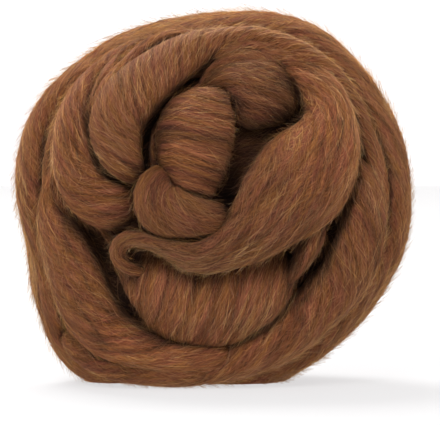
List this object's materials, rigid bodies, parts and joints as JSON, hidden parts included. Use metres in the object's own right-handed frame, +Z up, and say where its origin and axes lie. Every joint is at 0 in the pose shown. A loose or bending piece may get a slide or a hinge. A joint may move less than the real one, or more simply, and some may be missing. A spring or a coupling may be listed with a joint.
{
  "type": "ball of wool roving",
  "caption": "Loosely wound ball of combed wool roving, its thick turns looped and tucked into each other, resting on a small flat spot.",
  "frame": {"origin": "on the ground under the middle of the ball", "axes": "+X across the ball, +Y to its back, +Z up; the side with the knot of small turns faces -Y"},
  "size_m": [0.17, 0.12, 0.16],
  "materials": {
    "wool": "combed wool, matt with a soft sheen along the fibres"
  },
  "bodies": {
    "root": {"roving_ball": "wool"}
  },
  "joints": []
}
